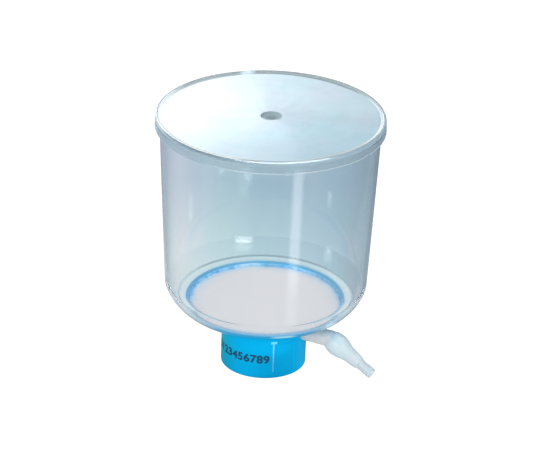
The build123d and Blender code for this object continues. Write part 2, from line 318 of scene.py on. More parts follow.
def lid_material():
    m = Nodes("clear_lid")
    vec = m.coords()
    p = m.n("ShaderNodeBsdfPrincipled", ins={"IOR": 1.58, "Anisotropic": 0.7, "Specular IOR Level": 0.6})
    tan = m.n("ShaderNodeTangent", direction_type="RADIAL", axis="Z")
    m.l(tan.outputs[0], p.inputs["Tangent"])
    sep = m.n("ShaderNodeSeparateXYZ")
    m.l(vec, sep.inputs[0])
    rad = m.math("SQRT", m.math("ADD", m.math("MULTIPLY", sep.outputs[0], sep.outputs[0]),
                                m.math("MULTIPLY", sep.outputs[1], sep.outputs[1])))
    # the plate is frosted inside its bead, the bead and skirt are clear
    plate = m.math("MULTIPLY", m.rng(rad, 1, 0, 0.0643, 0.0646), m.rng(sep.outputs[2], 0, 1, 0.1545, 0.1550))
    plate = m.math("MULTIPLY", plate, m.rng(rad, 0, 1, 0.0059, 0.0064))
    cloud = m.noise(vec, 22.0, 2.0, 0.5)
    mist = m.ramp(cloud, [(0.36, (0.575, 0.785, 0.835)), (0.64, (0.685, 0.785, 0.87))])
    clear = m.ramp(cloud, [(0.3, (0.80, 0.87, 0.89)), (0.7, (0.85, 0.905, 0.92))])
    # faint spokes and rings left by the mould's turned face
    turn = m.math("ARCTAN2", sep.outputs[0], sep.outputs[1])
    polar = m.n("ShaderNodeCombineXYZ")
    m.l(m.math("SINE", turn), polar.inputs[0])
    m.l(m.math("COSINE", turn), polar.inputs[1])
    m.l(m.math("MULTIPLY", rad, 9.0), polar.inputs[2])
    spoke = m.noise(polar.outputs[0], 2.6, 3.0, 0.55)
    arcs = m.n("ShaderNodeCombineXYZ")
    m.l(m.math("MULTIPLY", rad, 60.0), arcs.inputs[0])
    m.l(m.math("SINE", turn), arcs.inputs[1])
    m.l(m.math("COSINE", turn), arcs.inputs[2])
    arc = m.noise(arcs.outputs[0], 2.0, 3.0, 0.5)
    tone = m.rng(m.math("ADD", m.math("MULTIPLY", spoke, 0.6), m.math("MULTIPLY", arc, 0.4)), 0.93, 1.05, 0.35, 0.65)
    # painted shade and light on the plate: darker towards the front, more so at the front right (shade) and the front
    # left, and lighter at the back
    tone = m.math("MULTIPLY", tone, m.rng(sep.outputs[1], 0.85, 1.0, -0.058, -0.018))
    near = m.math("MULTIPLY", m.rng(sep.outputs[1], 1.0, 0.0, -0.024, 0.012), m.rng(sep.outputs[0], 0.0, 1.0, -0.040, 0.006))
    shade = m.ramp(near, [(0.0, (1.0, 1.0, 1.0)), (1.0, (0.80, 0.90, 0.93))])
    mid = m.math("MULTIPLY", m.math("MULTIPLY", m.rng(sep.outputs[1], 1.0, 0.0, -0.006, 0.012), m.rng(sep.outputs[0], 0.0, 1.0, -0.052, -0.030)), m.rng(near, 1.0, 0.0))
    front_left_shade = m.ramp(mid, [(0.0, (1.0, 1.0, 1.0)), (1.0, (0.92, 0.875, 0.895))])
    back = m.math("MULTIPLY", m.rng(sep.outputs[1], 0.0, 1.0, 0.004, 0.022), m.rng(sep.outputs[0], 1.0, 0.0, 0.020, 0.040))
    tone = m.math("MULTIPLY", tone, m.rng(back, 1.0, 1.09))
    tint = m.n("ShaderNodeMix", data_type="RGBA", blend_type="MULTIPLY")
    tint.inputs[0].default_value = 1.0
    m.l(mist, tint.inputs[6])
    grey = m.n("ShaderNodeCombineXYZ")
    for k in range(3):
        m.l(tone, grey.inputs[k])
    hue = m.n("ShaderNodeMix", data_type="RGBA", blend_type="MULTIPLY")
    hue.inputs[0].default_value = 1.0
    m.l(grey.outputs[0], hue.inputs[6])
    m.l(shade, hue.inputs[7])
    hue2 = m.n("ShaderNodeMix", data_type="RGBA", blend_type="MULTIPLY")
    hue2.inputs[0].default_value = 1.0
    m.l(hue.outputs[2], hue2.inputs[6])
    m.l(front_left_shade, hue2.inputs[7])
    m.l(hue2.outputs[2], tint.inputs[7])
    mixc = m.n("ShaderNodeMix", data_type="RGBA")
    m.l(plate, mixc.inputs[0])
    m.l(clear, mixc.inputs[6])
    m.l(tint.outputs[2], mixc.inputs[7])
    # painted shade: the skirt is painted darker, except towards its left
    skirt = m.math("MULTIPLY", m.math("MULTIPLY", m.rng(rad, 0, 1, 0.0640, 0.0642), m.rng(sep.outputs[2], 1, 0, 0.1550, 0.1556)),
                   m.rng(sep.outputs[0], 0.1, 1.0, -0.032, -0.008))
    mixq = m.n("ShaderNodeMix", data_type="RGBA")
    m.l(skirt, mixq.inputs[0])
    m.l(mixc.outputs[2], mixq.inputs[6])
    mixq.inputs[7].default_value = (0.71, 0.785, 0.815, 1)
    mixc = mixq
    # painted shade: the inner slope of the bead is painted dark grey at the back and right, weaker at the far left and
    # over a short stretch at the back left of centre (pause)
    inner = m.math("SUBTRACT", rad, m.rng(sep.outputs[0], 0.0, 0.0022, 0.042, 0.058))
    slope = m.math("MULTIPLY", m.math("MULTIPLY", m.rng(inner, 0, 1, 0.0602, 0.0612), m.rng(rad, 1, 0, 0.0648, 0.0650)),
                   m.rng(sep.outputs[2], 0, 1, 0.1558, 0.1561))
    slope = m.math("MULTIPLY", slope, m.math("MULTIPLY", m.rng(sep.outputs[1], 0, 1, -0.004, 0.018), m.rng(sep.outputs[0], 0.35, 1.0, -0.061, -0.049)))
    pause = m.math("MULTIPLY", m.rng(sep.outputs[0], 0, 1, -0.0200, -0.0165), m.rng(sep.outputs[0], 1, 0, -0.0130, -0.0095))
    slope = m.math("MULTIPLY", slope, m.rng(pause, 1.0, 0.35))
    bead = m.math("MULTIPLY", m.rng(rad, 0, 1, 0.0645, 0.0647), m.rng(sep.outputs[2], 0, 1, 0.1545, 0.1555))
    # painted shade: the outer flank is painted darker on the left
    flank = m.math("MULTIPLY", m.math("MULTIPLY", m.rng(rad, 0, 1, 0.0652, 0.0653), m.rng(sep.outputs[2], 1, 0, 0.1560, 0.1568)),
                   m.rng(sep.outputs[0], 1, 0, -0.058, -0.015))
    mixk = m.n("ShaderNodeMix", data_type="RGBA")
    m.l(flank, mixk.inputs[0])
    m.l(mixc.outputs[2], mixk.inputs[6])
    mixk.inputs[7].default_value = (0.46, 0.58, 0.63, 1)
    mixb = m.n("ShaderNodeMix", data_type="RGBA")
    m.l(bead, mixb.inputs[0])
    m.l(mixk.outputs[2], mixb.inputs[6])
    mixb.inputs[7].default_value = (0.50, 0.66, 0.75, 1)
    mixc = mixb
    # painted light: the bead's inner slope on the left, the front left of the edge and a ledge at the front right are
    # painted near white
    west = m.math("MULTIPLY", m.rng(sep.outputs[0], 1, 0, -0.058, -0.040), m.rng(sep.outputs[2], 0, 1, 0.1558, 0.1561))
    lift = m.math("MULTIPLY", west, m.math("MULTIPLY", m.rng(rad, 0, 1, 0.0618, 0.0622), m.rng(rad, 1, 0, 0.0640, 0.0643)))
    lift = m.math("MAXIMUM", lift, m.math("MULTIPLY", m.math("MULTIPLY", west, 0.8), m.math("MULTIPLY", m.math("MULTIPLY", m.rng(rad, 0, 1, 0.0640, 0.0643), m.rng(rad, 1, 0, 0.0643, 0.0646)), m.rng(sep.outputs[1], 0, 1, -0.022, -0.006))))
    corner_l = m.math("MULTIPLY", m.rng(sep.outputs[0], 1, 0, -0.022, -0.006), m.rng(sep.outputs[1], 1, 0, -0.020, -0.006))
    corner_l = m.math("MULTIPLY", m.math("MULTIPLY", corner_l, m.rng(sep.outputs[2], 0, 1, 0.1558, 0.1561)),
                      m.math("MULTIPLY", m.rng(rad, 0, 1, 0.0618, 0.0622), m.rng(rad, 1, 0, 0.0650, 0.0653)))
    lift = m.math("MAXIMUM", lift, corner_l)
    ledge = m.math("MULTIPLY", m.math("MULTIPLY", m.rng(sep.outputs[0], 0, 0.65, 0.004, 0.018), m.rng(sep.outputs[1], 1, 0, -0.020, -0.006)), m.rng(sep.outputs[2], 0, 1, 0.1558, 0.1561))
    ledge = m.math("MULTIPLY", ledge, m.math("MULTIPLY", m.rng(rad, 0, 1, 0.0622, 0.0628), m.rng(rad, 1, 0, 0.0647, 0.0651)))
    lift = m.math("MAXIMUM", lift, ledge)
    mixw = m.n("ShaderNodeMix", data_type="RGBA")
    m.l(lift, mixw.inputs[0])
    m.l(mixc.outputs[2], mixw.inputs[6])
    mixw.inputs[7].default_value = (0.94, 0.98, 0.98, 1)
    mixc = mixw
    # painted shade: a dark line along the outer edge at the front left
    line = m.math("MULTIPLY", m.math("MULTIPLY", m.rng(rad, 0, 1, 0.0650, 0.0652), m.rng(sep.outputs[2], 0, 1, 0.1554, 0.1558)),
                  m.math("MULTIPLY", m.rng(sep.outputs[0], 1, 0, -0.030, -0.004), m.rng(sep.outputs[1], 1, 0, -0.012, 0.004)))
    mixl = m.n("ShaderNodeMix", data_type="RGBA")
    m.l(line, mixl.inputs[0])
    m.l(mixc.outputs[2], mixl.inputs[6])
    mixl.inputs[7].default_value = (0.33, 0.43, 0.48, 1)
    mixc = mixl
    # painted shade: the outermost edge at the far left is painted grey
    cusp = m.math("MULTIPLY", m.math("MULTIPLY", m.rng(rad, 0, 1, 0.0650, 0.0652), m.rng(sep.outputs[2], 0, 1, 0.1545, 0.1550)), m.rng(sep.outputs[0], 1, 0, -0.0610, -0.0560))
    mixv = m.n("ShaderNodeMix", data_type="RGBA")
    m.l(cusp, mixv.inputs[0])
    m.l(mixc.outputs[2], mixv.inputs[6])
    mixv.inputs[7].default_value = (0.47, 0.56, 0.57, 1)
    mixc = mixv
    # painted shade in the sunk gate: dark grey, darkest at its centre
    gate = m.rng(rad, 1, 0, 0.0058, 0.0063)
    mixg = m.n("ShaderNodeMix", data_type="RGBA")
    m.l(gate, mixg.inputs[0])
    m.l(mixc.outputs[2], mixg.inputs[6])
    well = m.ramp(m.math("MULTIPLY", rad, 200.0), [(0.0, (0.13, 0.185, 0.205)), (0.5, (0.16, 0.225, 0.25)), (0.8, (0.22, 0.31, 0.335)), (1.0, (0.20, 0.27, 0.30))])
    m.l(well, mixg.inputs[7])
    mixs = m.n("ShaderNodeMix", data_type="RGBA")
    m.l(slope, mixs.inputs[0])
    m.l(mixg.outputs[2], mixs.inputs[6])
    mixs.inputs[7].default_value = (0.27, 0.325, 0.345, 1)
    m.l(mixs.outputs[2], p.inputs["Base Color"])
    foot = m.rng(sep.outputs[2], 1, 0, 0.1499, 0.1503)
    haze = m.math("MAXIMUM", m.math("MAXIMUM", plate, m.math("MAXIMUM", gate, m.math("MULTIPLY", cusp, 0.8))), m.math("MULTIPLY", m.math("MULTIPLY", foot, 0.75), m.rng(sep.outputs[0], 0.25, 1.0, -0.04, -0.01)))
    haze = m.math("MAXIMUM", haze, m.math("MAXIMUM", m.math("MULTIPLY", slope, 0.9), m.math("MAXIMUM", lift, m.math("MULTIPLY", bead, m.rng(sep.outputs[0], 0.22, 0.55, -0.03, 0.01)))))
    m.l(m.rng(haze, 0.90, 0.25), p.inputs["Transmission Weight"])
    fine = m.noise(vec, 500.0, 3.0, 0.6)
    m.l(m.math("ADD", m.math("ADD", m.rng(plate, 0.07, 0.17), m.math("MULTIPLY", gate, 0.45)), m.math("MULTIPLY", fine, 0.06)), p.inputs["Roughness"])
    # turned finish of the mould: faint rings about the gate
    comb = m.n("ShaderNodeCombineXYZ")
    m.l(rad, comb.inputs[0])
    rings = m.noise(comb.outputs[0], 2200.0, 3.0, 0.7)
    dish = m.math("MULTIPLY", m.math("MULTIPLY", rad, plate), -1.0)
    height = m.math("ADD", m.math("MULTIPLY", dish, 0.07), m.math("MULTIPLY", rings, 0.0000025))
    m.l(m.bump(height, 1.0, 1.0), p.inputs["Normal"])
    lp = m.n("ShaderNodeLightPath")
    tr = m.n("ShaderNodeBsdfTransparent", ins={"Color": (0.93, 0.96, 0.975, 1)})
    mix = m.n("ShaderNodeMixShader")
    m.l(m.math("MAXIMUM", lp.outputs["Is Shadow Ray"], m.math("GREATER_THAN", lp.outputs["Diffuse Depth"], 0.5)), mix.inputs[0])
    m.l(p.outputs[0], mix.inputs[1])
    m.l(tr.outputs[0], mix.inputs[2])
    m.l(mix.outputs[0], m.out.inputs["Surface"])
    return m.mat


def membrane_material():
    m = Nodes("membrane")
    vec = m.coords()
    p = m.n("ShaderNodeBsdfPrincipled", ins={"Roughness": 0.75, "Specular IOR Level": 0.25, "Sheen Weight": 0.08})
    sep = m.n("ShaderNodeSeparateXYZ")
    m.l(vec, sep.inputs[0])
    rad = m.math("SQRT", m.math("ADD", m.math("MULTIPLY", sep.outputs[0], sep.outputs[0]),
                                m.math("MULTIPLY", sep.outputs[1], sep.outputs[1])))
    wob = m.noise(vec, 160.0, 2.0, 0.5)
    edge = m.math("ADD", rad, m.math("MULTIPLY", m.math("SUBTRACT", wob, 0.5), 0.0024))
    cloud = m.noise(vec, 45.0, 3.0, 0.55)
    white = m.ramp(cloud, [(0.3, (0.94, 0.832, 0.822)), (0.7, (0.965, 0.857, 0.842))])
    seal = m.ramp(m.rng(edge, 0, 1, 0.0350, 0.0436), [(0.0, (0, 0, 0)), (0.16, (0.04, 0.04, 0.04)), (0.44, (0.13, 0.13, 0.13)), (0.64, (0.25, 0.25, 0.25)), (0.78, (0.40, 0.40, 0.40)), (0.89, (0.64, 0.64, 0.64)), (1.0, (1, 1, 1))])
    mixc = m.n("ShaderNodeMix", data_type="RGBA")
    m.l(m.math("MULTIPLY", seal, m.rng(sep.outputs[1], 0, 1, -0.016, -0.003)), mixc.inputs[0])
    m.l(white, mixc.inputs[6])
    blot = m.ramp(m.noise(vec, 420.0, 3.0, 0.65), [(0.46, (0.52, 0.76, 0.97)), (0.56, (0.26, 0.58, 0.86))])
    gap = m.math("MULTIPLY", m.rng(sep.outputs[0], 0, 1, -0.0185, -0.0150), m.rng(sep.outputs[0], 1, 0, -0.0065, -0.0030))
    dense = m.math("MULTIPLY", m.rng(sep.outputs[0], 0, 1, -0.0340, -0.0300), m.rng(sep.outputs[0], 1, 0, -0.0215, -0.0185))
    dull = m.rng(sep.outputs[0], 0, 1, 0.0220, 0.0310)
    teal = m.math("MULTIPLY", m.rng(sep.outputs[0], 0, 1, -0.0045, -0.0015), m.rng(sep.outputs[0], 1, 0, 0.0085, 0.0125))
    thin = m.math("MULTIPLY", m.rng(sep.outputs[0], 0, 1, 0.0335, 0.0370), m.rng(sep.outputs[1], 1, 0, -0.010, 0.000))
    for mask, amount, tint in ((gap, 0.75, (0.62, 0.78, 0.86)), (dense, 0.22, (0.20, 0.44, 0.72)), (dull, 0.6, (0.44, 0.60, 0.73)), (teal, 0.6, (0.16, 0.47, 0.68)), (thin, 0.75, (0.64, 0.74, 0.84))):
        mg = m.n("ShaderNodeMix", data_type="RGBA")
        m.l(m.math("MULTIPLY", mask, amount), mg.inputs[0])
        m.l(blot, mg.inputs[6])
        mg.inputs[7].default_value = (*tint, 1)
        blot = mg.outputs[2]
    m.l(blot, mixc.inputs[7])
    m.l(mixc.outputs[2], p.inputs["Base Color"])
    fine = m.noise(vec, 2600.0, 2.0, 0.6)
    m.l(m.bump(fine, 0.15, 0.0001), p.inputs["Normal"])
    m.l(m.rng(cloud, 0.68, 0.82), p.inputs["Roughness"])
    m.l(p.outputs[0], m.out.inputs["Surface"])
    return m.mat


def blue_material(name="blue_base"):
    m = Nodes(name)
    vec = m.coords()
    p = m.n("ShaderNodeBsdfPrincipled", ins={"Specular IOR Level": 0.035, "IOR": 1.5})
    sep = m.n("ShaderNodeSeparateXYZ")
    m.l(vec, sep.inputs[0])
    x, y, z = sep.outputs
    cloud = m.noise(vec, 30.0, 2.0, 0.5)
    col = m.ramp(cloud, [(0.25, (0.0003, 0.415, 0.76)), (0.75, (0.0006, 0.455, 0.82))])
    # the raised T on the collar: painted highlight, lighter blue where light catches the raised rib
    turn = m.math("MULTIPLY", m.math("ARCTAN2", x, m.math("MULTIPLY", y, -1.0)), 180 / math.pi)

    def band(v, lo, hi, w):
        return m.math("MULTIPLY", m.rng(v, 0, 1, lo - w, lo), m.rng(v, 1, 0, hi, hi + w))

    stem = m.math("MULTIPLY", band(turn, 13.1, 14.7, 0.5), band(z, 0.0045, 0.0229, 0.0006))
    bar = m.math("MULTIPLY", band(turn, 10.4, 18.2, 0.6), band(z, 0.0226, 0.0239, 0.0003))
    rib = m.math("MINIMUM", m.math("ADD", m.math("MULTIPLY", stem, m.rng(z, 0.55, 1.0, 0.008, 0.020)), bar), 1.0)
    outer = m.rng(m.math("SQRT", m.math("ADD", m.math("MULTIPLY", x, x), m.math("MULTIPLY", y, y))), 0, 1, 0.0249, 0.02505)
    mixr = m.n("ShaderNodeMix", data_type="RGBA")
    m.l(m.math("MULTIPLY", rib, outer), mixr.inputs[0])
    m.l(col, mixr.inputs[6])
    mixr.inputs[7].default_value = (0.19, 0.76, 1.0, 1)
    # painted shade and light on the collar: painted darker towards its foot, mostly at the front, painted lighter at
    # its right edge, and greener towards its left edge
    collar_foot_shade = m.ramp(m.math("MULTIPLY", z, 40.0), [(0.032, (1.0, 1.0, 1.0)), (0.10, (0.74, 0.74, 0.74)), (0.24, (0.68, 0.68, 0.68)), (0.388, (0.62, 0.62, 0.62)),
                                                (0.544, (0.43, 0.43, 0.43)), (0.652, (0.15, 0.15, 0.15)), (0.76, (0.0, 0.0, 0.0))])
    wide = m.ramp(m.math("ADD", m.math("MULTIPLY", x, 20.0), 0.5), [(0.216, (0.45, 0.45, 0.45)), (0.36, (0.55, 0.55, 0.55)), (0.48, (0.9, 0.9, 0.9)), (0.554, (1.0, 1.0, 1.0)),
                                                                  (0.68, (1.0, 1.0, 1.0)), (0.796, (0.70, 0.70, 0.70)), (0.868, (0.35, 0.35, 0.35)), (0.94, (0.15, 0.15, 0.15))])
    wallr = m.rng(m.math("SQRT", m.math("ADD", m.math("MULTIPLY", x, x), m.math("MULTIPLY", y, y))), 0, 1, 0.0234, 0.0238)
    shell = m.math("MULTIPLY", wallr, m.rng(z, 1, 0, 0.030, 0.032))
    fore = m.math("MULTIPLY", shell, m.rng(y, 1, 0.45, -0.006, 0.010))
    for mask, tint in ((m.math("MULTIPLY", collar_foot_shade, wide), (0.5, 0.58, 0.64)), (m.rng(x, 1, 0, -0.0240, -0.0165), (1.0, 0.98, 0.74)), (m.rng(x, 0, 1, 0.0185, 0.0222), (0.6, 1.17, 1.16))):
        mz = m.n("ShaderNodeMix", data_type="RGBA", blend_type="MULTIPLY")
        m.l(m.math("MULTIPLY", mask, fore if tint[0] == 0.5 else shell), mz.inputs[0])
        m.l(mixr.outputs[2], mz.inputs[6])
        mz.inputs[7].default_value = (*tint, 1)
        mixr = mz
    # the rim is fused to the clear bowl: its top and inner face look paler
    wob = m.noise(vec, 260.0, 2.0, 0.6)
    radius = m.math("SQRT", m.math("ADD", m.math("MULTIPLY", x, x), m.math("MULTIPLY", y, y)))
    above = m.math("MULTIPLY", m.rng(z, 0, 1, 0.0388, 0.0391), m.rng(radius, 1, 0, 0.0465, 0.0466))
    top = m.rng(z, 0, 1, 0.0403, 0.0406)
    pale = m.n("ShaderNodeMix", data_type="RGBA")
    m.l(top, pale.inputs[0])
    pale.inputs[6].default_value = (0.52, 0.78, 1.0, 1)
    pale.inputs[7].default_value = (0.16, 0.47, 0.72, 1)
    ahead = m.rng(y, 1, 0, -0.016, -0.003)
    palf = m.n("ShaderNodeMix", data_type="RGBA")
    m.l(ahead, palf.inputs[0])
    m.l(pale.outputs[2], palf.inputs[6])
    palf.inputs[7].default_value = (0.62, 0.63, 0.72, 1)
    pale = palf
    blot = m.n("ShaderNodeMix", data_type="RGBA")
    m.l(m.math("MULTIPLY", m.rng(m.noise(vec, 420.0, 3.0, 0.65), 0, 0.8, 0.47, 0.55), m.rng(y, 0, 1, -0.016, -0.003)), blot.inputs[0])
    m.l(pale.outputs[2], blot.inputs[6])
    blot.inputs[7].default_value = (0.16, 0.50, 0.80, 1)
    gap = m.math("MULTIPLY", m.math("MULTIPLY", m.rng(x, 0, 0.7, -0.0185, -0.0150), m.rng(x, 1, 0, -0.0065, -0.0030)), m.rng(y, 0, 1, 0.0, 0.01))
    dense = m.math("MULTIPLY", m.math("MULTIPLY", m.rng(x, 0, 0.22, -0.0320, -0.0280), m.rng(x, 1, 0, -0.0215, -0.0185)), m.rng(y, 0, 1, 0.0, 0.01))
    pale = blot
    dull = m.rng(x, 0, 0.6, 0.0220, 0.0310)
    teal = m.math("MULTIPLY", m.math("MULTIPLY", m.rng(x, 0, 0.6, -0.0045, -0.0015), m.rng(x, 1, 0, 0.0085, 0.0125)), m.rng(y, 0, 1, 0.0, 0.01))
    thin = m.math("MULTIPLY", m.rng(x, 0, 0.75, 0.0335, 0.0370), m.rng(y, 1, 0, -0.010, 0.000))
    for mask, tint in ((gap, (0.60, 0.76, 0.84)), (dense, (0.13, 0.36, 0.62)), (teal, (0.12, 0.42, 0.64)), (dull, (0.34, 0.53, 0.68)), (thin, (0.60, 0.71, 0.81))):
        mg = m.n("ShaderNodeMix", data_type="RGBA")
        m.l(mask, mg.inputs[0])
        m.l(pale.outputs[2], mg.inputs[6])
        mg.inputs[7].default_value = (*tint, 1)
        pale = mg
    mixf = m.n("ShaderNodeMix", data_type="RGBA")
    side = m.math("MULTIPLY", m.math("MULTIPLY", m.rng(radius, 0, 1, 0.04645, 0.04655), m.rng(z, 0, 1, 0.0384, 0.0386)), 0.85)
    fused = m.math("MAXIMUM", m.math("MULTIPLY", above, m.rng(wob, 0.75, 1.0, 0.35, 0.6)), side)
    m.l(fused, mixf.inputs[0])
    m.l(mixr.outputs[2], mixf.inputs[6])
    m.l(pale.outputs[2], mixf.inputs[7])
    m.l(mixf.outputs[2], p.inputs["Base Color"])
    tex = m.noise(vec, 1400.0, 3.0, 0.6)
    m.l(m.rng(tex, 0.30, 0.46, 0.3, 0.7), p.inputs["Roughness"])
    m.l(m.bump(tex, 0.10, 0.0001), p.inputs["Normal"])
    m.l(p.outputs[0], m.out.inputs["Surface"])
    return m.mat


def connector_material():
    m = Nodes("connector")
    vec = m.coords()
    p = m.n("ShaderNodeBsdfPrincipled",
            ins={"Transmission Weight": 0.3, "IOR": 1.45, "Subsurface Weight": 0.6, "Subsurface Scale": 0.004, "Specular IOR Level": 0.35})
    p.inputs["Subsurface Radius"].default_value = (0.9, 1.0, 1.0)
    cloud = m.noise(vec, 120.0, 3.0, 0.5)
    col = m.ramp(cloud, [(0.3, (0.775, 0.90, 0.965)), (0.7, (0.81, 0.92, 0.98))])
    # the shank and elbow block are a warmer natural grade than the hose steps
    warm = m.ramp(cloud, [(0.3, (0.965, 0.90, 0.83)), (0.7, (0.985, 0.92, 0.86))])
    tip = m.ramp(cloud, [(0.3, (0.62, 0.79, 0.87)), (0.7, (0.66, 0.82, 0.90))])
    sep = m.n("ShaderNodeSeparateXYZ")
    m.l(vec, sep.inputs[0])
    along = m.math("ADD", m.math("MULTIPLY", sep.outputs[0], 0.927184), m.math("MULTIPLY", sep.outputs[1], -0.374607))
    mixc = m.n("ShaderNodeMix", data_type="RGBA")
    m.l(m.rng(along, 1, 0, 0.0405, 0.0450), mixc.inputs[0])
    m.l(col, mixc.inputs[6])
    m.l(warm, mixc.inputs[7])
    mixt = m.n("ShaderNodeMix", data_type="RGBA")
    m.l(m.rng(along, 0, 1, 0.0600, 0.0740), mixt.inputs[0])
    m.l(mixc.outputs[2], mixt.inputs[6])
    m.l(tip, mixt.inputs[7])
    m.l(mixt.outputs[2], p.inputs["Base Color"])
    m.l(m.rng(m.noise(vec, 700.0, 3.0, 0.6), 0.26, 0.42, 0.3, 0.7), p.inputs["Roughness"])
    m.l(m.bump(m.noise(vec, 900.0, 2.0, 0.5), 0.08, 0.0001), p.inputs["Normal"])
    m.l(p.outputs[0], m.out.inputs["Surface"])
    return m.mat


def plain_material(name, a, b, rough, scale, bump):
    m = Nodes(name)
    vec = m.coords()
    p = m.n("ShaderNodeBsdfPrincipled", ins={"Specular IOR Level": 0.3})
    t = m.noise(vec, scale, 4.0, 0.6)
    m.l(m.ramp(t, [(0.3, a), (0.7, b)]), p.inputs["Base Color"])
    m.l(m.rng(t, rough[0], rough[1], 0.3, 0.7), p.inputs["Roughness"])
    m.l(m.bump(t, bump, 0.0003), p.inputs["Normal"])
    m.l(p.outputs[0], m.out.inputs["Surface"])
    return m.mat


LID_MAT = lid_material()
MEM_MAT = membrane_material()
BLUE_MAT = blue_material()
CONN_MAT = connector_material()
GASKET_MAT = plain_material("gasket", (0.50, 0.52, 0.52), (0.58, 0.60, 0.60), (0.5, 0.7), 600.0, 0.2)
PLUG_MAT = plain_material("plug", (0.70, 0.70, 0.68), (0.85, 0.85, 0.83), (0.8, 0.95), 1500.0, 0.8)
INK_MAT = plain_material("ink", (0.0, 0.055, 0.11), (0.0, 0.075, 0.145), (0.55, 0.7), 900.0, 0.1)

# ------------------------------------------------------------------- pieces
# lid: plate with a raised edge bead, drafted skirt, sunk moulding gate
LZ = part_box("lid")[1].z / MM            # top of the edge bead
face = LZ - 0.7
rim = 154.5
lid_pts = rounded([
    (0, face - 1.35), (4.9, face - 1.3, 0.6), (5.9, face - 0.05, 0.45), (9.0, face, 0),
    (62.2, face, 0.8), (64.0, LZ - 0.1, 0.4), (64.35, LZ, 0.25), (64.7, LZ, 0.2), (65.2, LZ - 0.3, 0.15), (65.5, LZ - 0.85, 0.2), (65.55, LZ - 1.5, 0.6),
    (65.9, 150.1, 0.1), (65.75, 149.8, 0.15), (64.55, 149.8, 0.12), (64.3, rim, 0.3),
    (7.6, rim, 0.4), (6.9, rim - 1.0, 0.3), (0, rim - 1.0)], 5)
lid = lathe("lid_cover", split_long(lid_pts, 4.0), 256)
paint(lid, LID_MAT)
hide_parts("lid")
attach(lid, "lid")

# bowl: drafted wall, rim bead, rounded heel and the floor lip over the rim
heel_out = arc3((49.9, 39.25), (55.3, 44.85), (58.84, 51.75), 12)
heel_in = arc3((56.84, 52.55), (54.75, 46.9), (51.7, 42.1), 10)
bowl_pts = rounded(
    [(46.52, 40.62), (46.52, 38.8, 0.1), (49.3, 38.8, 0.45), (49.95, 39.3, 0.3)] + heel_out
    + [(58.84, 51.75, 0.35), (63.2, 149.8), (63.3, 152.2, 0.3), (63.95, 152.75, 0.3), (63.95, rim, 0.45),
       (61.5, rim, 0.4), (56.84, 52.55)] + heel_in
    + [(51.65, 42.05, 0.3), (51.1, 41.85, 0.5), (44.9, 41.85, 0.3), (44.9, 40.62)], 4)
bowl = lathe("bowl_wall", split_long(bowl_pts, 5.0), 288, sharp=50.0)
paint(bowl, BOWL_MAT)
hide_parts("bowl")
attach(bowl, "unit")

# membrane: thin disc, faintly quilted by the grooves under it
mem_pts = [(0, 39.2)] + [(44.1 * i / 44, 39.2) for i in range(1, 45)] + [(44.2, 39.16), (44.2, 39.02), (0, 39.0)]


def quilt(a, r, z):
    if z < 39.15 or r > 42.5:
        return r, z
    return r, z - 0.035 * (0.5 - 0.5 * math.cos(2 * math.pi * (r - 7.4 + 0.95) / 3.8)) * (1 if r > 6 else r / 6)


membrane = lathe("membrane_disc", mem_pts, 192, quilt)
paint(membrane, MEM_MAT)
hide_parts("membrane")
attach(membrane, "unit")


# filter base: plate, rim, chamber, drain spout, collar with panel and rib
def smooth(x, a, b):
    t = max(0.0, min(1.0, (x - a) / (b - a)))
    return t * t * (3 - 2 * t)


def bandpass(x, lo, hi, w):
    return smooth(x, lo - w, lo) * (1 - smooth(x, hi, hi + w))


def collar_detail(a, r, z):
    if r < 24.9 or r > 25.01 or z < 1 or z > 31:
        return r, z
    f = math.degrees(a) + 90.0            # degrees from the front towards +X
    f = (f + 180) % 360 - 180
    d = -0.40 * bandpass(f, 16.0, 46.0, 0.7) * bandpass(z, 2.8, 21.6, 0.35)
    d += 0.33 * bandpass(f, 13.25, 14.55, 0.5) * bandpass(z, 4.0, 23.2, 0.3)
    d += 0.33 * bandpass(f, 10.6, 18.0, 0.7) * bandpass(z, 22.7, 23.8, 0.3)
    return r + d, z


angs = []
a = -180.0
while a < 180.0 - 1e-6:
    angs.append(math.radians(a - 90.0))
    near = 8.0 <= a <= 20.0 or 43.0 <= a <= 49.0
    a += 0.25 if near else (1.0 if -90 < a < 90 else 2.0)
zs = []
z = 31.0
while z > 1.0:
    zs.append(z)
    fine = 21.0 < z <= 24.4 or 2.2 < z <= 4.6
    z -= 0.15 if fine else 0.9
collar_line = [(25.0, q) for q in zs]
base_pts = (
    [(0, 39.0), (44.35, 39.0)] + rounded([(44.0, 39.0), (44.6, 39.0, 0.15), (44.6, 40.7, 0.25), (46.6, 40.7, 0.2),
                                           (46.6, 38.2, 0.3), (45.4, 37.2, 0.5), (40.0, 36.0)], 3)[1:-1]
    + [(36.0, 35.09), (30.0, 33.73)] + rounded([(27.0, 33.05), (25.0, 32.6, 0.8), (25.0, 31.6)], 4)[1:-1]
    + collar_line
    + rounded([(25.0, 1.0), (25.0, 0.0, 0.45), (23.2, 0.0, 0.3), (22.8, 0.5, 0.1), (22.8, 1.2)], 4)[1:-1]
    + [(22.8, 2.0), (22.8, 8.0), (22.8, 15.0), (22.4, 15.0), (22.4, 17.2), (17.0, 17.2), (17.0, 24.0), (17.0, 31.0),
       (6.0, 31.0), (5.6, 19.7), (5.4, 19.5), (4.2, 19.5), (4.0, 19.7), (4.0, 30.0), (0, 30.0)])
base = lathe("filter_base_body", base_pts, offset=collar_detail, angles=angs, sharp=28.0)
paint(base, BLUE_MAT)
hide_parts("filter_base")
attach(base, "unit")

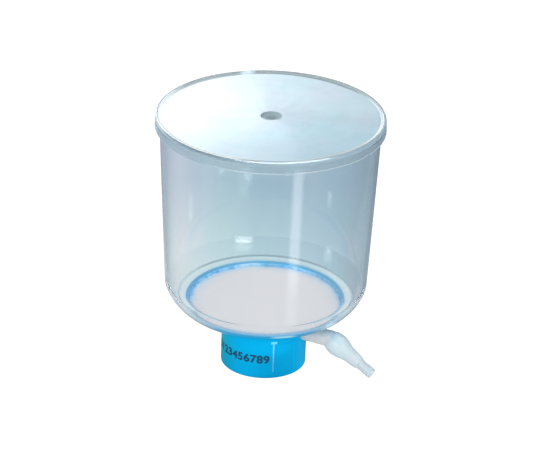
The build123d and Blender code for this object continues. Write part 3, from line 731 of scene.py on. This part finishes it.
# neck thread: one trapezoid ridge, 4 mm pitch, fading in and out
bm = bmesh.new()
turns, pitch, steps = 2.35, 4.0, 96
sec = [(0.35, -1.35), (-0.25, -1.2), (-1.25, -0.55), (-1.4, -0.3), (-1.4, 0.3), (-1.25, 0.55), (-0.25, 1.2), (0.35, 1.35)]
total = int(turns * steps)
prev = None
for i in range(total + 1):
    a = 2 * math.pi * i / steps
    fade = smooth(i, 0, steps * 0.12) * (1 - smooth(i, total - steps * 0.12, total))
    zc = 3.0 + pitch * i / steps
    ring = []
    for dr, dz in sec:
        r = 22.8 + (dr if dr > 0 else dr * fade)
        ring.append(bm.verts.new((r * math.cos(a) * MM, r * math.sin(a) * MM, (zc + dz) * MM)))
    if prev:
        for k in range(len(sec)):
            q = (k + 1) % len(sec)
            bm.faces.new((prev[k], prev[q], ring[q], ring[k]))
    else:
        bm.faces.new(ring[::-1])
    prev = ring
bm.faces.new(prev)
thread = finish_mesh("neck_thread", bm, 40.0)
paint(thread, BLUE_MAT)
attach(thread, "unit")

# neck gasket
gasket = lathe("gasket_ring", rounded([(15.6, 15.3, 0.3), (22.2, 15.3, 0.3), (22.2, 17.2, 0.2), (15.6, 17.2, 0.3)], 4), 192)
paint(gasket, GASKET_MAT)
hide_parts("neck_gasket")
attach(gasket, "unit")

# vacuum connector: the moulded shape, its seams melted together
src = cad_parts["vacuum_connector"]
me = src.data.copy()
conn = bpy.data.objects.new("vacuum_elbow", me)
scene.collection.objects.link(conn)
bm = bmesh.new()
bm.from_mesh(me)
bmesh.ops.remove_doubles(bm, verts=bm.verts, dist=1e-6)
bm.to_mesh(me)
bm.free()
mod = conn.modifiers.new("remesh", "REMESH")
mod.mode = "VOXEL"
mod.voxel_size = 0.00030
mod2 = conn.modifiers.new("smooth", "SMOOTH")
mod2.factor = 0.5
mod2.iterations = 6
dg = bpy.context.evaluated_depsgraph_get()
new = bpy.data.meshes.new_from_object(conn.evaluated_get(dg))
conn.modifiers.clear()
conn.data = new
new.name = "vacuum_elbow"
new.shade_smooth()
paint(conn, CONN_MAT)
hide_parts("vacuum_connector")
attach(conn, "connector")

paint(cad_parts["port_filter_plug"], PLUG_MAT)

# plain index numbers round the collar
digits = "0123456789"
cur = bpy.data.curves.new("index_numbers", "FONT")
cur.body = digits
cur.size = 6.9 * MM
cur.space_character = 1.06
cur.align_x = "CENTER"
cur.align_y = "CENTER"
cur.offset = 0.00024
cur.resolution_u = 4
tmp = bpy.data.objects.new("tmp_numbers", cur)
scene.collection.objects.link(tmp)
bpy.context.view_layer.update()
dg = bpy.context.evaluated_depsgraph_get()
me = bpy.data.meshes.new_from_object(tmp.evaluated_get(dg))
bpy.data.objects.remove(tmp)
bm = bmesh.new()
bm.from_mesh(me)
bmesh.ops.triangulate(bm, faces=bm.faces)
bmesh.ops.subdivide_edges(bm, edges=[e for e in bm.edges if e.calc_length() > 0.0006], cuts=2)
width = max(v.co.x for v in bm.verts) - min(v.co.x for v in bm.verts)
ext = bmesh.ops.extrude_face_region(bm, geom=list(bm.faces))
top = {v for v in ext["geom"] if isinstance(v, bmesh.types.BMVert)}
span = math.radians(91.0)
mid = math.radians(-90.0 - 36.5)
for v in bm.verts:
    ang = mid + v.co.x / width * span
    r = 25.06 if v in top else 24.9
    zz = 12.1 * MM + v.co.y
    v.co = (r * MM * math.cos(ang), r * MM * math.sin(ang), zz)
numbers = finish_mesh("index_numbers", bm, 30.0)
paint(numbers, INK_MAT)
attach(numbers, "unit")

# -------------------------------------------------------------------- stage
bm = bmesh.new()
bmesh.ops.create_grid(bm, x_segments=8, y_segments=8, size=4.0)
floor = finish_mesh("floor", bm)
floor.location.z = -0.0002
m = Nodes("floor_paper")
lp = m.n("ShaderNodeLightPath")
sep = m.n("ShaderNodeSeparateXYZ")
m.l(m.coords(), sep.inputs[0])
gy = m.rng(sep.outputs[1], 0.0, 1.0, 0.135, 0.247)
gx = m.rng(sep.outputs[0], 0.0, 1.0, -0.13, 0.13)
near = m.ramp(gx, [(0.058, (0.49, 0.60, 0.645)), (0.20, (0.80, 0.87, 0.87)), (0.25, (0.87, 0.905, 0.90)), (0.335, (0.775, 0.86, 0.888)),
                   (0.388, (0.68, 0.835, 0.84)), (0.496, (0.57, 0.745, 0.79)), (0.627, (0.565, 0.70, 0.778)), (0.685, (0.473, 0.633, 0.705)),
                   (0.746, (0.46, 0.549, 0.615)), (0.885, (0.336, 0.418, 0.488))])
far = m.ramp(gx, [(0.058, (0.47, 0.54, 0.65)), (0.192, (0.615, 0.687, 0.79)), (0.315, (0.578, 0.666, 0.753)), (0.377, (0.497, 0.637, 0.703)),
                  (0.488, (0.425, 0.563, 0.662)), (0.635, (0.45, 0.556, 0.651)), (0.692, (0.389, 0.514, 0.613)), (0.754, (0.369, 0.47, 0.566)),
                  (0.869, (0.276, 0.342, 0.41))])
pool = m.n("ShaderNodeMix", data_type="RGBA")
m.l(gy, pool.inputs[0])
m.l(near, pool.inputs[6])
m.l(far, pool.inputs[7])


def patch(cx, cy, half_u, half_v, turn, soft, strength, bow=0.0):
    """Light card lying on the floor: its mask, in mm and degrees."""
    mp = m.n("ShaderNodeMapping", vector_type="TEXTURE")
    mp.inputs["Location"].default_value = (cx * MM, cy * MM, 0)
    mp.inputs["Rotation"].default_value = (0, 0, math.radians(turn))
    mp.inputs["Scale"].default_value = (MM, MM, MM)
    m.l(m.coords(), mp.inputs["Vector"])
    sp = m.n("ShaderNodeSeparateXYZ")
    m.l(mp.outputs[0], sp.inputs[0])
    fu = m.rng(m.math("ABSOLUTE", sp.outputs[0]), 1, 0, half_u * (1 - soft), half_u * (1 + soft))
    lift = m.math("SUBTRACT", sp.outputs[1], m.math("MULTIPLY", m.math("MULTIPLY", sp.outputs[0], sp.outputs[0]), bow))
    fv = m.rng(m.math("ABSOLUTE", lift), 1, 0, half_v * (1 - soft), half_v * (1 + soft))
    for node in (fu.node, fv.node):
        node.interpolation_type = "SMOOTHSTEP"
    return m.math("MULTIPLY", m.math("MULTIPLY", fu, fv), strength)


cards = [(-89.2, -217.6, 31, 2.0, -24.2, 0.4, 11.0, 0.0016), (-87, -209.5, 30, 4.6, -25, 0.6, 2.2, 0.0026),
         (-127, -281, 28, 20, -26, 0.6, 0.7), (-121, -273, 17, 3, -26, 0.5, 0.6), (248, -132, 12, 9, 64, 0.5, 1.2),
         (255, -131, 8, 3, 64, 0.5, 1.5), (186, -96, 17, 8, 68, 0.6, 1.5), (192, -97, 8, 2.5, 68, 0.5, 2.0),
         (-256, -31, 15, 17, -89, 0.6, 0.7), (-244, -31, 8, 5, -89, 0.5, 0.7)]
sp = m.n("ShaderNodeMapping", vector_type="TEXTURE")        # tall soft strip, wider far out
sp.inputs["Location"].default_value = (66 * MM, -141 * MM, 0)
sp.inputs["Rotation"].default_value = (0, 0, math.radians(-58.7))
sp.inputs["Scale"].default_value = (MM, MM, MM)
m.l(m.coords(), sp.inputs["Vector"])
ss = m.n("ShaderNodeSeparateXYZ")
m.l(sp.outputs[0], ss.inputs[0])
ratio = m.math("DIVIDE", m.math("ABSOLUTE", ss.outputs[1]), m.math("ADD", m.math("MULTIPLY", ss.outputs[0], 0.079), 14.5))
strip = m.rng(ratio, 1, 0, 0.45, 1.5)
strip.node.interpolation_type = "SMOOTHSTEP"
ends = m.math("MULTIPLY", m.rng(ss.outputs[0], 0, 1, -70, -20), m.rng(ss.outputs[0], 1, 0, 250, 330))
glow = m.math("MULTIPLY", m.math("MULTIPLY", strip, ends), m.rng(ss.outputs[0], 1.0, 3.2, 10, 60))
for c in cards:
    k = patch(*c)
    glow = k if glow is None else m.math("ADD", glow, k)
front = m.n("ShaderNodeMix", data_type="RGBA", blend_type="ADD")
front.inputs[0].default_value = 1.0
base_tone = m.n("ShaderNodeMix", data_type="RGBA")
m.l(lp.outputs["Is Transmission Ray"], base_tone.inputs[0])
base_tone.inputs[6].default_value = (0.30, 0.33, 0.35, 1)
base_tone.inputs[7].default_value = (0.62, 0.71, 0.76, 1)
m.l(base_tone.outputs[2], front.inputs[6])
gl = m.n("ShaderNodeCombineXYZ")
for k in range(3):
    m.l(glow, gl.inputs[k])
m.l(gl.outputs[0], front.inputs[7])
field = m.n("ShaderNodeMix", data_type="RGBA")
m.l(m.rng(sep.outputs[1], 0.0, 1.0, -0.02, 0.06), field.inputs[0])
m.l(front.outputs[2], field.inputs[6])
m.l(pool.outputs[2], field.inputs[7])
white = m.n("ShaderNodeEmission", ins={"Color": (1.0, 1.0, 1.0, 1), "Strength": 1.15})
soft = m.n("ShaderNodeEmission", ins={"Color": (0.66, 0.70, 0.73, 1), "Strength": 1.0})
seen = m.n("ShaderNodeEmission", ins={"Strength": 1.0})
m.l(field.outputs[2], seen.inputs["Color"])
m1 = m.n("ShaderNodeMixShader")
m.l(m.math("GREATER_THAN", lp.outputs["Diffuse Depth"], 0.5), m1.inputs[0])
m.l(seen.outputs[0], m1.inputs[1])
m.l(soft.outputs[0], m1.inputs[2])
m2 = m.n("ShaderNodeMixShader")
m.l(lp.outputs["Is Camera Ray"], m2.inputs[0])
m.l(m1.outputs[0], m2.inputs[1])
m.l(white.outputs[0], m2.inputs[2])
geo = m.n("ShaderNodeNewGeometry")
clear = m.n("ShaderNodeBsdfTransparent")
m3 = m.n("ShaderNodeMixShader")                             # the sheet only shows from above
m.l(geo.outputs["Backfacing"], m3.inputs[0])
m.l(m2.outputs[0], m3.inputs[1])
m.l(clear.outputs[0], m3.inputs[2])
m.l(m3.outputs[0], m.out.inputs["Surface"])
m.mat.cycles.emission_sampling = "NONE"
paint(floor, m.mat)

# world: soft, slightly blue studio dome
w = bpy.data.worlds.new("studio")
scene.world = w
w.use_nodes = True
nt = w.node_tree
nt.nodes.clear()
wo = nt.nodes.new("ShaderNodeOutputWorld")
bg = nt.nodes.new("ShaderNodeBackground")
bgw = nt.nodes.new("ShaderNodeBackground")
mx = nt.nodes.new("ShaderNodeMixShader")
lpw = nt.nodes.new("ShaderNodeLightPath")
tc = nt.nodes.new("ShaderNodeTexCoord")
sx = nt.nodes.new("ShaderNodeSeparateXYZ")
rp = nt.nodes.new("ShaderNodeValToRGB")
nt.links.new(tc.outputs["Generated"], sx.inputs[0])
nt.links.new(sx.outputs[2], rp.inputs[0])
rp.color_ramp.elements[0].position = 0.0
rp.color_ramp.elements[0].color = (0.55, 0.62, 0.66, 1)
rp.color_ramp.elements[1].position = 0.8
rp.color_ramp.elements[1].color = (0.85, 0.88, 0.90, 1)
nt.links.new(rp.outputs[0], bg.inputs[0])
bg.inputs[1].default_value = 0.64
bgw.inputs[0].default_value = (1, 1, 1, 1)
bgw.inputs[1].default_value = 1.15
nt.links.new(lpw.outputs["Is Camera Ray"], mx.inputs[0])
nt.links.new(bg.outputs[0], mx.inputs[1])
nt.links.new(bgw.outputs[0], mx.inputs[2])
nt.links.new(mx.outputs[0], wo.inputs[0])


def area(name, loc, target, size, size_y, watts, color=(1, 1, 1), spread=180.0):
    l = bpy.data.lights.new(name, "AREA")
    l.shape = "RECTANGLE"
    l.size, l.size_y = size, size_y
    l.energy = watts
    l.color = color
    l.spread = math.radians(spread)
    o = bpy.data.objects.new(name, l)
    scene.collection.objects.link(o)
    o.location = loc
    o.rotation_euler = (Vector(target) - Vector(loc)).to_track_quat("-Z", "Y").to_euler()
    o.visible_camera = False
    o.visible_transmission = False
    return o


area("top_box", (0.0, 0.1, 1.5), (0, 0, 0), 0.9, 0.9, 5.0)
area("fill_front", (-0.9, -2.4, 1.1), (0, 0, 0.03), 1.2, 1.2, 38.0, (1.0, 0.99, 0.97))
area("fill_right", (1.5, -1.5, 0.7), (0, 0, 0.03), 1.0, 1.0, 10.0, (0.94, 0.98, 1.0))
lid_key = area("lid_key", (-0.16, 0.06, 0.23), (0, 0, 0.15), 0.12, 0.12, 0.36)
lid_only = bpy.data.collections.new("lid_only")
lid_only.objects.link(lid)
lid_key.light_linking.receiver_collection = lid_only
lid_key.visible_glossy = False
sheen = area("sheen_box", (-0.54, 1.38, 0.76), (0.0, 0.0, 0.157), 1.0, 1.0, 6.0)
sheen.rotation_euler.rotate_axis("Z", math.radians(15.0))
sheen.visible_diffuse = False
sheen.light_linking.receiver_collection = lid_only
bead = area("bead_strip", (0.36, -1.02, 0.76), (0, 0, 0.157), 1.9, 0.40, 24.0)
bead.visible_diffuse = False
bead.light_linking.receiver_collection = lid_only

# ------------------------------------------------------------------- camera
f_px, dist, height = 2727.15, 1417.52, 774.16
yaw, pitch, roll = 0.00102600, 0.45111964, -0.0336538
cy, sy, cp, sp, cr, sr = math.cos(yaw), math.sin(yaw), math.cos(pitch), math.sin(pitch), math.cos(roll), math.sin(roll)
fwd = Vector((sy * cp, cy * cp, -sp))
right = Vector((cy, -sy, 0))
down = fwd.cross(right)
r2 = cr * right + sr * down
d2 = -sr * right + cr * down
cam = bpy.data.cameras.new("camera")
cam.sensor_width = 36.0
cam.lens = 36.0 * f_px / 540.0
cam.clip_start, cam.clip_end = 0.05, 20
co = bpy.data.objects.new("camera", cam)
scene.collection.objects.link(co)
mat = Matrix((r2, -d2, -fwd)).transposed().to_4x4()
mat.translation = Vector((0, -dist * MM, height * MM))
co.matrix_world = mat
scene.camera = co

scene.view_settings.view_transform = "Standard"
scene.view_settings.look = "None"
scene.cycles.caustics_refractive = True
scene.cycles.caustics_reflective = False
scene.cycles.max_bounces = 48
scene.cycles.transmission_bounces = 48
scene.cycles.transparent_max_bounces = 24
